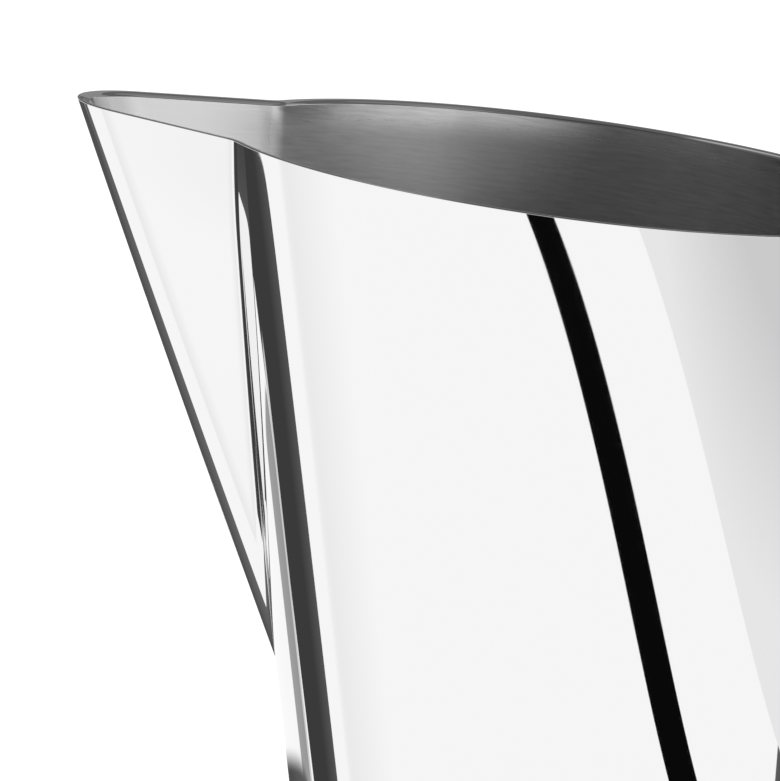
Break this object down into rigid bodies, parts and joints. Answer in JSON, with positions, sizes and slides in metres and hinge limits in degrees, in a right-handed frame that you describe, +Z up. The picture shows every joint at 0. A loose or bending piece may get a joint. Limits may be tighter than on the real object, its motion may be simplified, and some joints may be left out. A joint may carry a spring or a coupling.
{
  "type": "creamer",
  "caption": "Small open creamer of polished steel sheet with a tapered body, slanted rim, V spout and bent strap handle, for serving cream or milk.",
  "frame": {"origin": "centre of the flat underside of the bottom disc, on the axis of the tapered body", "axes": "+Z up along the body's axis, -X towards the spout, +X towards the handle, the XZ plane is the plane of symmetry"},
  "size_m": [0.1065, 0.07, 0.0886],
  "materials": {
    "polished_steel": "mirror-polished outside, fine brushed inside, bare polished rim edge",
    "satin_steel": "satin",
    "handle_steel": "mirror-polished"
  },
  "bodies": {
    "root": {"body_wall": "polished_steel", "spout": "polished_steel", "spout_seam": "polished_steel", "base_disc": "satin_steel", "base_seam": "satin_steel", "handle": "handle_steel", "handle_seam_upper": "handle_steel", "handle_seam_lower": "handle_steel"}
  },
  "joints": []
}
